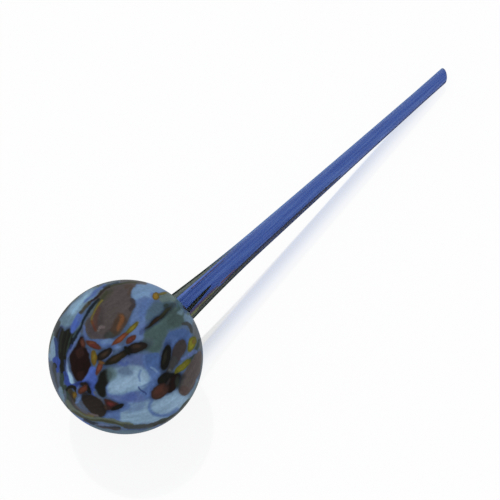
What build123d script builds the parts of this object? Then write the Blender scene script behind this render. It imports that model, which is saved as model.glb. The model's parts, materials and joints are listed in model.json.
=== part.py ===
from build123d import *
import os
from math import asin, atan2, cos, degrees, hypot, radians, sin, sqrt, tan

# Watering globe of hand-blown glass, lying on its side.
# Millimetres. The floor is z = 0 and the stem points along +X, down to the floor.
# Everything is modelled about the globe's own centre with the stem along X,
# then laid down at the end, so that globe and stem tip both touch the floor.

# Driving dimensions
globe_diameter = 76.0
globe_wall = 2.0
reach = 262.0  # globe centre to the middle of the mouth
neck_length = 63.0  # flared part of the stem, measured from the globe
straight_length = 25.0  # cylindrical end of the stem
bore_radius = 2.25
rim_round = 0.5  # fire polish of the mouth
mouth_slant = 19.0  # degrees off square
mouth_turn = -64.0  # degrees round the stem, where the cut leaves it longest

# Wall of the cobalt core round the bore, and of the clear casing round the core
neck_core_wall = 0.65
throat_core_wall = 1.55
tip_core_wall = 0.75
neck_case_wall = 5.7
throat_case_wall = 1.8
tip_case_wall = 0.85
taper_sag = 0.1  # how far the middle of the long taper lies below a straight line
core_sag = 0.15  # the same for the core within the neck

# Coloured glass, melted in flush with the surface
chip_depth = 0.25  # at both ends of a chip, which is deeper in its middle
overrun = 5.0  # how far every cutting body runs past the glass

globe_radius = globe_diameter / 2
cavity_radius = globe_radius - globe_wall
neck_core = bore_radius + neck_core_wall
throat_core = bore_radius + throat_core_wall
tip_core = bore_radius + tip_core_wall
neck_radius = neck_core + neck_case_wall
throat_radius = throat_core + throat_case_wall
tip_radius = tip_core + tip_case_wall
neck_start = sqrt(globe_radius**2 - neck_radius**2)
core_start = sqrt(cavity_radius**2 - neck_core**2)
throat_start = neck_start + neck_length
straight_start = reach - straight_length

# Chips by colour. A row is one chip: its two ends and its width, in degrees.
# An end is (angle from the stem, turn round the stem from the top of the globe).
chip_rows = {
    "frit_yellow": [
        ((127.0, 4.0), (134.0, 10.5), 5.4),
        ((90.0, 60.0), (73.0, 62.5), 4.6),
        ((54.0, 53.5), (68.5, 56.5), 8.0),
        ((64.5, 3.0), (55.0, 4.0), 7.0),
        ((70.0, -150.0), (83.0, -146.0), 5.0),
    ],
    "frit_amber": [
        ((102.8, 13.5), (114.0, 12.5), 4.4),
        ((126.3, -6.0), (123.0, 6.0), 5.4),
        ((74.0, 118.0), (84.0, 121.0), 5.0),
    ],
    "frit_brown": [
        ((113.0, 67.0), (100.5, 65.8), 11.0),
        ((127.5, 22.0), (112.5, 23.2), 6.4),
        ((62.0, -110.0), (77.0, -104.0), 8.0),
    ],
    "frit_dark": [
        ((132.5, -10.0), (153.5, 3.0), 13.6),
        ((164.0, 44.0), (150.5, 60.0), 13.0),
        ((108.0, -112.0), (123.0, -104.0), 9.6),
    ],
    "frit_olive": [
        ((84.5, 42.0), (97.0, 50.5), 5.4),
        ((114.0, 146.0), (128.0, 149.0), 5.8),
    ],
}
# Long thin chips are pointed like leaves, the rest are round ended
pointed_nodes = ["frit_olive"]


def on_globe(polar, turn, radius):
    a = radians(polar)
    b = radians(turn)
    return Vector(cos(a), -sin(a) * sin(b), sin(a) * cos(b)) * radius


def taper_curve(at_throat, at_tip):
    # From the straight end of the stem up to the throat, a little hollow
    half_way = (throat_start + straight_start) / 2
    half_level = (at_throat + at_tip) / 2 - taper_sag
    return ThreePointArc((straight_start, at_tip), (half_way, half_level), (throat_start, at_throat))


def core_curve():
    # Outside of the core: it thins towards the ball, where the casing thickens
    taper_curve(throat_core, tip_core)
    half_way = (throat_start + core_start) / 2
    half_level = (throat_core + neck_core) / 2 - core_sag
    ThreePointArc((throat_start, throat_core), (half_way, half_level), (core_start, neck_core))


def around_stem(profile):
    return revolve(profile, Axis.X, 360)


def cut_mouth(glass):
    # The mouth is cut on the slant through core and casing alike
    longest = on_globe(90, mouth_turn, 1)
    facing = Vector(1, 0, 0) - longest * tan(radians(mouth_slant))
    cut_plane = Plane(origin=(reach, 0, 0), z_dir=facing)
    waste = extrude(cut_plane * Circle(tip_radius + overrun), tip_radius + 2 * overrun)
    return glass - waste


def make_body():
    # The ball and the clear casing of the stem are one gather of glass
    end = reach + tip_radius  # enough glass for the slanted cut
    side = sqrt(0.5)
    with BuildSketch() as section:
        with BuildLine():
            ThreePointArc(
                (neck_start, neck_radius), (-side * globe_radius, side * globe_radius), (-globe_radius, 0)
            )
            Line((-globe_radius, 0), (-cavity_radius, 0))
            ThreePointArc(
                (-cavity_radius, 0), (-side * cavity_radius, side * cavity_radius), (core_start, neck_core)
            )
            core_curve()
            Polyline((straight_start, tip_core), (end, tip_core), (end, tip_radius), (straight_start, tip_radius))
            taper = taper_curve(throat_radius, tip_radius)
            TangentArc(taper @ 1, (neck_start, neck_radius), tangent=taper % 1)
        make_face()
    body = cut_mouth(around_stem(section.sketch))
    rim = body.faces().sort_by(Axis.X)[-1]
    return fillet(rim.edges().sort_by(SortBy.LENGTH)[-1], rim_round)


def make_core():
    # The cobalt tube inside the casing, from the ball to the mouth
    end = reach + tip_radius
    with BuildSketch() as section:
        with BuildLine():
            core_curve()
            Polyline(
                (straight_start, tip_core),
                (end, tip_core),
                (end, bore_radius),
                (core_start, bore_radius),
                (core_start, neck_core),
            )
        make_face()
    return cut_mouth(around_stem(section.sketch))


def leaf(half_length, half_width):
    with BuildLine() as outline:
        ThreePointArc((-half_length, 0), (0, half_width), (half_length, 0))
        ThreePointArc((-half_length, 0), (0, -half_width), (half_length, 0))
    return make_face(outline.edges())


def make_chip(start, end, width, pointed):
    # An outline standing on the flat floor of its pocket
    first = on_globe(*start, globe_radius)
    last = on_globe(*end, globe_radius)
    middle = (first + last) * 0.5
    half_length = (last - first).length / 2
    half_width = globe_radius * sin(radians(width / 2))
    floor_level = middle.length - chip_depth
    plane = Plane(origin=middle.normalized() * floor_level, x_dir=last - first, z_dir=middle)
    outline = leaf(half_length, half_width) if pointed else SlotOverall(2 * half_length, 2 * half_width)
    return extrude(plane * outline, globe_radius - floor_level + overrun)


# Build the pieces about the globe's centre
body = make_body()
pieces = {"glass_body": body, "stem_core": make_core()}

for node, rows in chip_rows.items():
    cutters = [make_chip(start, end, width, node in pointed_nodes) for start, end, width in rows]
    pieces[node] = Part() + [cutter & body for cutter in cutters]
    pieces["glass_body"] -= pieces[node]

# Lay it down: the globe and the underside of the mouth touch the floor
down = cos(radians(180 - mouth_turn)) * tip_radius * tan(radians(mouth_slant))
touch_x = reach + down - rim_round
touch_radius = tip_radius - rim_round
drop = globe_radius - rim_round
slope = asin(drop / hypot(touch_x, touch_radius)) - atan2(touch_radius, touch_x)
laid = Pos(0, 0, globe_radius) * Rot(0, degrees(slope), 0)
far_end = (laid * pieces["glass_body"]).bounding_box().max.X
middle_x = (far_end - globe_radius) / 2

os.makedirs("parts", exist_ok=True)
for node, piece in pieces.items():
    export_step(Pos(-middle_x, 0, 0) * (laid * piece), f"parts/{node}.step")
    print(node, len(piece.solids()), round(piece.volume, 1))
print("overall length", round(far_end + globe_radius, 1))
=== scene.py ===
import bmesh
import bpy
import json
import math
import random
import numpy as np
from mathutils import Matrix, Vector, noise


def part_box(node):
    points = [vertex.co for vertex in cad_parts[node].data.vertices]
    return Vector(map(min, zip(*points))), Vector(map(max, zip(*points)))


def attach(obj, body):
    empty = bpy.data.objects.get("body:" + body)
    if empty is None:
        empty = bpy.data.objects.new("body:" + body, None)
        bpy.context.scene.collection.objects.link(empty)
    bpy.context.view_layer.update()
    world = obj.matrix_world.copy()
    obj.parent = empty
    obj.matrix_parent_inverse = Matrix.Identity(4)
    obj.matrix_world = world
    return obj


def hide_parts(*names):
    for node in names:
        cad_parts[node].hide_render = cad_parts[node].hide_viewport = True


# Watering globe of blown glass, lying on a white glossy table.
# Metres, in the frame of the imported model. Patterns are given in millimetres.

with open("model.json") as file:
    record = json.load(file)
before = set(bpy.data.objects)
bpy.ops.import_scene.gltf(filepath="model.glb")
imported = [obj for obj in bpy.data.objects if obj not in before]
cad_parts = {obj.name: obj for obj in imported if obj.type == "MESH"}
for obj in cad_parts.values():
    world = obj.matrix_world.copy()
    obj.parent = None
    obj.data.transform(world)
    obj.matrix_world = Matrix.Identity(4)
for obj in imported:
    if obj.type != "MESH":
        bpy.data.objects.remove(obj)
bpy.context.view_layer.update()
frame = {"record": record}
mm = 0.001
refraction = 1.5  # of soda-lime glass
print("frame loaded")

bodyLow, bodyHigh = (Vector(corner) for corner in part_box("glass_body"))
mounts = {mount["name"]: mount for mount in frame["record"]["mounts"]}
ballRadius = (bodyHigh.z - bodyLow.z) / 2
ballMm = ballRadius / mm
ballMiddle = Vector((bodyLow.x + ballRadius, 0, bodyLow.z + ballRadius))
stemAlong = Vector(mounts["mouth_bore"]["axis"]).normalized()
stemTop = Vector((-stemAlong.z, 0, stemAlong.x))  # turn 0 round the stem
stemSide = Vector((0, -1, 0))  # turn 90 round the stem


def sharesOf(text):
    # hex colour to its shares of red, green and blue
    return np.array([int(text[i:i + 2], 16) for i in (1, 3, 5)]) / 255


def toLinear(colour):
    # sRGB to the linear colour that Blender works in
    return np.where(colour <= 0.04045, colour / 12.92, ((np.clip(colour, 0, 1) + 0.055) / 1.055) ** 2.4)


def fromHex(text):
    return (*toLinear(sharesOf(text)), 1)


def smooth(x):
    x = np.clip(x, 0, 1)
    return x * x * (3 - 2 * x)


def rise(x, low, high):
    return smooth((x - low) / (high - low))


def addNode(tree, kind, settings=None, links=None):
    # one node, its settings by attribute or socket, and its links by socket;
    # a node given as a source stands for its first output
    node = tree.nodes.new("ShaderNode" + kind)
    for name, value in (settings or {}).items():
        if isinstance(name, str) and hasattr(node, name):
            setattr(node, name, value)
        else:
            node.inputs[name].default_value = value
    for name, source in (links or {}).items():
        output = source.outputs[0] if isinstance(source, bpy.types.Node) else source
        tree.links.new(output, node.inputs[name])
    return node


def newMaterial(name):
    material = bpy.data.materials.new(name)
    material.use_nodes = True
    material.node_tree.nodes.clear()
    return material, material.node_tree


def finishPiece(piece, material, replaced):
    for face in piece.data.polygons:
        face.use_smooth = True
    piece.data.materials.append(material)
    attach(piece, "root")
    if replaced:
        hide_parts(*replaced)


def showMesh(name, mesh):
    piece = bpy.data.objects.new(name, mesh)
    bpy.context.scene.collection.objects.link(piece)
    return piece


def newPiece(name, points, faces):
    mesh = bpy.data.meshes.new(name)
    mesh.from_pydata(points, [], faces)
    mesh.update()
    return showMesh(name, mesh)


view = {
    "elevation": 57.49,  # degrees above the table
    "azimuth": 44.66,  # degrees
    "roll": -5.29,  # degrees
    "distance": 22.76,  # from the ball's middle, in ball radii
    "focal": 3.5,  # in picture widths
    "sensor": 36,  # mm
    "ballAt": (-0.2482, -0.2135),  # ball's middle from the picture's, in picture widths
}


def makeCamera():
    turn = math.radians(view["azimuth"])
    tilt = math.radians(view["elevation"])
    roll = math.radians(view["roll"])
    right = Vector((math.cos(turn), -math.sin(turn), 0))
    away = Vector((math.sin(turn), math.cos(turn), 0))
    up = Vector((0, 0, 1))
    look = math.cos(tilt) * away - math.sin(tilt) * up
    upright = math.sin(tilt) * away + math.cos(tilt) * up
    across = math.cos(roll) * right + math.sin(roll) * upright
    over = -math.sin(roll) * right + math.cos(roll) * upright
    toBall = (across * view["ballAt"][0] + over * view["ballAt"][1]) / view["focal"] + look
    place = ballMiddle - toBall.normalized() * view["distance"] * ballRadius
    data = bpy.data.cameras.new("camera")
    data.sensor_width = view["sensor"]
    data.lens = view["sensor"] * view["focal"]
    camera = bpy.data.objects.new("camera", data)
    camera.matrix_world = Matrix.Translation(place) @ Matrix((across, over, -look)).transposed().to_4x4()
    bpy.context.scene.collection.objects.link(camera)
    bpy.context.scene.camera = camera
    return place, across, over, look


eye, pictureRight, pictureUp, looking = makeCamera()
print("camera placed")


# Glass colours, as they look when cold; pale, ice, milk and mauve also give the ball's painted reflections and glints
glass = {
    "pale": "#7c98b0",
    "paleBlue": "#708eb0",
    "milk": "#8eaac4",
    "ice": "#90b8d6",
    "steel": "#688296",
    "teal": "#48606c",
    "rimSteel": "#4e6676",
    "sky": "#5c74a0",
    "veil": "#4c607e",
    "royal": "#465fa8",
    "blue": "#506a9c",
    "midBlue": "#425c8c",
    "cobalt": "#32468c",
    "violet": "#546696",
    "lavender": "#6e80b2",
    "slate": "#4c5668",
    "navy": "#141e28",
    "inkBlue": "#2a3c6c",
    "greyBrown": "#4e4747",
    "warmGrey": "#4e4746",
    "purpleGrey": "#423f46",
    "mauve": "#706466",
    "greyGreen": "#445858",
    "paleGreen": "#5e7070",
    "darkGreen": "#2e3c36",
    "mistGreen": "#4e6468",
    "rimOlive": "#565f54",
    "olive": "#282414",
    "oliveBrown": "#3a3628",
    "moss": "#383c2a",
    "umber": "#26201c",
    "brown": "#46362a",
    "plum": "#383234",
    "black": "#141612",
    "maroon": "#1a0c0a",
    "rust": "#422a24",
    "red": "#682c2a",
    "brick": "#744232",
    "redBrown": "#5e3426",
    "orange": "#784e30",
    "salmon": "#80462e",
    "amber": "#76542c",
    "honey": "#846824",
    "yellow": "#766c28",
    "lime": "#767622",
    "grey": "#585e60",
    "darkGrey": "#383c3c",
}

# Colour fields with an outline, a few of them painted reflections of the softbox: colour, edge softness, strength,
# outline.
# Places are millimetres right and up of the ball's middle, as the camera sees it.
fields = [
    ("steel", 2, 1, [(-33, 16), (-29, 23), (-22, 30), (-15, 34.5), (-8, 37), (-2, 37.5), (-8, 35), (-13, 31),
        (-18, 26), (-22, 22), (-24, 18), (-28, 15)]),
    # pale band and whitish streaks along the upper-left rim: glass colour with a painted reflection of the softbox in
    # it
    ("pale", 2.4, 0.9, [(-29.5, 19), (-27.5, 23.5), (-23, 28.5), (-17.5, 33), (-16, 32), (-19, 28), (-22, 24),
        (-25, 20), (-27.5, 17.5)]),
    ("ice", 2.2, 0.6, [(-27, 22.5), (-24, 26), (-19.5, 31), (-19, 29.5), (-21.6, 26), (-24.4, 22.6),
        (-26.4, 20.6)]),
    ("sky", 1.4, 0.7, [(-17, 30), (-13, 34), (-10.5, 34.5), (-13, 31.8), (-16, 28.6)]),
    ("teal", 2.6, 0.45, [(-31, 20), (-27.5, 21), (-25.5, 18.5), (-28, 16.5), (-31.5, 16)]),
    ("sky", 1.5, 1, [(2, 34), (6, 36), (12, 36.5), (18, 34), (22, 31), (12, 27), (10, 20), (9, 14), (9, 9),
        (4, 6.5), (-2, 5), (-10, 8.5), (-12, 5), (-7, 3.5), (-2, 5), (2, 12), (2, 18), (5, 26)]),
    ("paleBlue", 1.6, 0.9, [(2.4, 33), (5, 35.5), (10, 36.8), (14, 35.5), (19, 33), (17, 32), (12, 31.5),
        (12, 29), (9, 29.5), (5, 28), (3, 29)]),
    ("blue", 1.4, 0.7, [(8, 27.5), (14, 28), (12, 24.5), (9.5, 20), (7.5, 17.5), (6.5, 21)]),
    ("violet", 1.5, 0.6, [(5, 15), (9.5, 16), (9, 12), (7.5, 10.5), (5, 12.5)]),
    ("teal", 2.2, 0.7, [(9.5, 19), (11, 24), (15, 26.8), (19, 26), (19, 23), (15, 20), (12, 17.5)]),
    ("greyGreen", 2, 1, [(19, 27.6), (24, 28), (27, 25), (29, 20), (28.5, 16), (25, 14.3), (21, 13), (17, 15.5),
        (15.5, 18.5), (19, 22)]),
    ("darkGreen", 2.2, 0.3, [(21, 23), (26, 22), (28, 17), (24, 15), (20, 17)]),
    ("greyGreen", 2, 1, [(17, 16.5), (20.5, 13), (20, 10), (18, 7), (17, 3), (14, 1.6), (10, 3), (4, 2.2),
        (6, 6), (9, 8.5), (8.8, 11), (11.5, 14.4)]),
    ("slate", 2.2, 0.25, [(8.5, 9), (12, 9.5), (14, 7), (11, 5), (8, 6)]),
    ("paleGreen", 1, 1, [(16, 28.8), (20, 32), (23.5, 31), (26.3, 27), (22, 26.7), (18, 26.5)]),
    ("teal", 1.4, 0.7, [(18, 27), (24.5, 27.5), (26, 25), (22, 24.3), (18.5, 24.5)]),
    ("midBlue", 1, 0.95, [(18.5, 5.5), (20.3, 10.5), (24, 12.9), (28, 13.8), (30.5, 13), (32, 10.5), (31, 8),
        (29.5, 5.5), (27, 4), (22, 3.5), (19.5, 3.5)]),
    ("blue", 1.6, 0.7, [(20, 8.5), (22.5, 10), (25.5, 8.5), (24, 5.5), (21, 5)]),
    ("steel", 1.2, 0.8, [(28.8, 21), (31, 20.5), (33, 18), (32.6, 15.8), (30, 17), (28.5, 18.8)]),
    ("pale", 1.4, 0.6, [(25.3, 21.5), (27, 23.5), (28.3, 22.5), (27.4, 20.6)]),
    ("grey", 1.6, 0.9, [(33.4, 18), (35.5, 13.5), (37.2, 8), (37.8, 3), (36, 4), (34.8, 9), (33, 11),
        (32.6, 14.5)]),
    ("greyBrown", 0.9, 1, [(-13.5, 31.5), (-8.5, 34.4), (-3, 36), (3, 36.6), (5, 35.6), (2.6, 33), (2.1, 30),
        (3, 27), (4.5, 25.4), (3, 22), (1.5, 19), (0, 16.3), (-1.2, 13.5), (-3, 11), (-5.5, 9.6), (-9, 9),
        (-13, 8.5), (-17, 8.9), (-19.3, 11), (-20, 15), (-19.3, 19), (-17.5, 22.5), (-16, 26), (-14.6, 29)]),
    ("purpleGrey", 2.4, 0.5, [(-19, 12), (-18.5, 18), (-16, 17), (-14, 12), (-10, 10), (-15, 9.4)]),
    ("plum", 2.4, 0.4, [(-15, 24), (-11.5, 24.5), (-11, 16), (-13.5, 13.5), (-15.5, 17)]),
    ("warmGrey", 2.4, 0.5, [(-11, 22), (-4, 24), (-7, 16), (-11, 13)]),
    ("moss", 1.8, 0.5, [(-14, 29), (-9, 32.6), (-6, 33), (-9, 29), (-13.6, 25)]),
    ("darkGreen", 1.2, 0.5, [(-10.5, 10.6), (-7, 12.5), (-3.5, 12), (-5.5, 9.7), (-9, 9.3)]),
    ("brown", 1.6, 0.8, [(-3.6, 21), (-1, 20.3), (0.2, 17.6), (-2, 13.6), (-5, 10.6), (-6.5, 11.4),
        (-6.4, 14.3), (-5.2, 18)]),
    ("orange", 1.6, 0.9, [(-2.8, 20.4), (-0.9, 19.6), (-1.6, 16.2), (-3.8, 12.6), (-4.6, 13.4), (-3.6, 17)]),
    ("blue", 1.4, 0.9, [(-20.5, 11), (-19.4, 8.6), (-15, 8.4), (-8, 9), (-4, 6.5), (-7, 4.5), (-12, 5),
        (-16, 7), (-19.5, 7.6)]),
    ("paleBlue", 1.4, 0.5, [(-12, 8), (-8.5, 9), (-5.8, 7.3), (-8, 6.4), (-12, 6.5)]),
    ("lavender", 0.8, 0.8, [(-12, 2.6), (-8, 3.9), (-6.5, 2), (-9, -0.8), (-10.6, -1.4), (-8.2, 1.2)]),
    # Middle: a pale cloud between blue veils
    ("violet", 1.6, 0.8, [(-3.5, -1.6), (1, 0.8), (9, 0.9), (11, -3), (6, -6), (0, -5.5), (-4, -4)]),
    ("blue", 2, 0.9, [(8, 0), (16, 1), (16.5, -8), (15.5, -13), (13.5, -17), (11.5, -22), (8, -23), (0, -23.5),
        (-4, -21.5), (-10, -18.3), (-9.5, -14), (0, -14), (9, -8)]),
    ("pale", 2.4, 1, [(-7.5, -7), (-2.5, -5), (3, -4.2), (8, -5), (11.5, -9), (11, -13), (8, -16), (4, -17),
        (0, -17.8), (-4, -18.4), (-8.6, -17.6), (-8.4, -13)]),
    ("milk", 2.2, 0.75, [(2.5, -7), (7.5, -7), (10.5, -10), (8, -13.5), (2, -14.5), (-3, -16.5), (-7, -16),
        (-2, -12), (1, -10)]),
    ("veil", 2.4, 0.6, [(-3.5, -5.8), (1, -5), (4, -8), (0.5, -9.5), (-4, -8)]),
    ("midBlue", 1, 0.95, [(9.6, 0.6), (16.4, 1.6), (17.2, -3), (16, -6.6), (12.2, -6.4), (10, -4)]),
    ("violet", 1.3, 0.9, [(-9.5, -18.6), (-4, -19), (1, -18.2), (5, -17.4), (9, -19.6), (9.5, -21.6),
        (4, -22.6), (-2, -22.4), (-6, -20.8)]),
    ("cobalt", 1.8, 0.35, [(0, -18.8), (4.5, -18), (5, -20.5), (0, -21.5), (-2.5, -20.5)]),
    ("blue", 1.2, 0.8, [(11.4, -13.5), (14, -14), (13.6, -19.6), (12, -22), (10, -21)]),
    # Bottom: pale pool inside a thin blue loop
    ("pale", 3, 1, [(-3, -25), (2, -23), (8, -22.2), (13, -20.5), (20, -18.4), (25, -15.6), (30, -18),
        (33.5, -15.5), (35, -13.6), (33.6, -18), (30, -23), (24, -28.2), (16, -31.8), (8, -33), (2, -32.8),
        (-2.5, -31.6), (-3.5, -28)]),
    ("milk", 2.4, 0.5, [(16, -22), (23, -19.4), (30, -19.6), (28, -24), (20, -26.6), (14, -25)]),
    ("sky", 2.2, 0.5, [(-2.5, -24.5), (3, -23.4), (9, -23), (8, -26), (1, -27.5)]),
    ("blue", 1.4, 0.9, [(-9.5, -26.5), (-5, -26.6), (-2.5, -28), (-3, -31), (-7, -30.6), (-10.5, -29.6)]),
    ("blue", 1.4, 0.8, [(-5.5, -22), (1, -22.6), (2, -25), (-2, -27.4), (-6.5, -27), (-2.5, -24.6)]),
    # Left: dark pools, blue and white trails
    ("black", 1, 1, [(-32.5, 14.5), (-30, 12.6), (-27.6, 13.8), (-26, 11), (-23.4, 13.3), (-24, 10), (-26, 6),
        (-27.8, 2.4), (-29.3, -3), (-29.8, -9), (-31.8, -12), (-32, -6), (-32.6, 0), (-33.2, 6), (-34.2, 10)]),
    ("royal", 1.3, 1, [(-27, 15.6), (-25, 19), (-22.6, 22.4), (-21.4, 21.4), (-21.8, 18), (-23.4, 15),
        (-25, 12.6), (-26.4, 11.6), (-27.4, 13)]),
    ("blue", 1.4, 0.6, [(-24.4, 19.5), (-22, 22.4), (-21, 21), (-22.2, 17.6), (-23.6, 17)]),
    ("maroon", 0.8, 1, [(-22, 6.4), (-20, 4.2), (-18, 3), (-18.3, 0), (-17.4, -4), (-18.4, -7), (-20.3, -10),
        (-22, -12.8), (-24, -12), (-26, -8), (-27, -4), (-27.3, 0), (-26, 3), (-24, 6), (-22.6, 9.5),
        (-21, 9.6)]),
    ("rust", 1.6, 0.5, [(-24.5, 3), (-21.5, 5), (-20.5, 1), (-23.5, -1)]),
    ("rust", 1.4, 0.4, [(-23.5, -8), (-20.5, -7), (-21.5, -11), (-23.3, -11)]),
    ("royal", 1, 1, [(-17.6, -4.9), (-14.3, -6), (-14, -10), (-13.3, -11.6), (-15.2, -15), (-15, -17.4),
        (-12.6, -20), (-16, -19.2), (-18, -15.6), (-18.6, -13.8), (-22, -12.6), (-20.5, -10.4), (-19, -8)]),
    ("cobalt", 1.4, 0.3, [(-18.4, -13), (-15, -12.5), (-15.3, -16.5), (-17.2, -17)]),
    ("black", 1.2, 1, [(-12.4, -8), (-10, -6.2), (-7.5, -6.8), (-7, -9), (-8.4, -12), (-9.6, -15), (-10, -19),
        (-11.6, -19.8), (-14, -17), (-15.2, -15), (-13.8, -12)]),
    ("mistGreen", 2.4, 0.8, [(-9.5, -5.6), (-6, -5.4), (-4.4, -8.4), (-6.6, -11.6), (-9, -12)]),
    # Far left, seen on the slant
    # painted reflection of the softbox: a pale stripe down the left side
    ("milk", 1.2, 1, [(-28.9, -2.5), (-27.6, -6.5), (-26, -10.5), (-25.3, -13.2), (-26.6, -14.2),
        (-28.4, -13.6), (-29, -10), (-29.2, -6)]),
    ("ice", 1.4, 0.7, [(-28.2, -7), (-26.8, -10), (-26.2, -12.8), (-27.8, -12.6), (-28.2, -10)]),
    ("pale", 0.8, 0.9, [(-37.6, 6), (-35.6, 10.4), (-34.6, 9), (-34, 5), (-34.3, 1), (-35.2, -1.2),
        (-36.4, -2.6), (-37.8, 1)]),
    ("cobalt", 0.7, 1, [(-35.6, -0.4), (-33.6, 0.6), (-31.9, -2), (-32.2, -5), (-33, -8.2), (-34.4, -7),
        (-34.3, -4), (-35.9, -2.2)]),
    # Right: brown pools
    ("plum", 1, 1, [(27.6, 8.8), (29.2, 7), (29.4, 4), (28, 1), (26, -2), (24, -4.8), (22, -6.8), (20, -7.4),
        (21.4, -3), (22.3, 0), (22.9, 3), (24.6, 6.2)]),
    ("darkGrey", 1.4, 0.7, [(22, 0), (25, -0.5), (25, -4), (22, -7.4), (19.5, -7.8), (21, -3)]),
    ("warmGrey", 0.8, 1, [(26.2, -14), (26.4, -17.4), (28.5, -19), (30.5, -18.2), (33, -15), (34.6, -11.5),
        (36.3, -8), (37.2, -4), (37.7, 0), (36.7, 3), (34.7, 2), (33, -1), (31, -4), (29.5, -6.5), (28, -8.6),
        (27, -11)]),
    ("darkGrey", 1.2, 0.6, [(27.6, -9), (29, -9.5), (27.8, -13), (27, -16), (26, -14)]),
    ("rust", 1.8, 0.3, [(26.8, -15.5), (29.5, -14.5), (31.2, -16.5), (28.6, -18.8)]),
    ("greyBrown", 2, 0.6, [(32, -5), (35, -3), (36.5, -6), (34, -11), (31.5, -9)]),
    # Bottom left: dark pool with a pale-brown shore
    ("umber", 0.8, 1, [(-21, -19.3), (-18, -18.6), (-15, -19.4), (-12, -20.8), (-10.4, -23), (-9.4, -25),
        (-10, -28), (-12, -29.4), (-15, -28.7), (-18, -26.4), (-20.6, -23.7), (-21.6, -21.5)]),
    ("rust", 0.7, 1, [(-10.6, -21.2), (-7.5, -20.9), (-4.5, -22.4), (-3, -24), (-6, -25.2), (-8, -26.2),
        (-9.8, -25.6)]),
]
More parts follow.
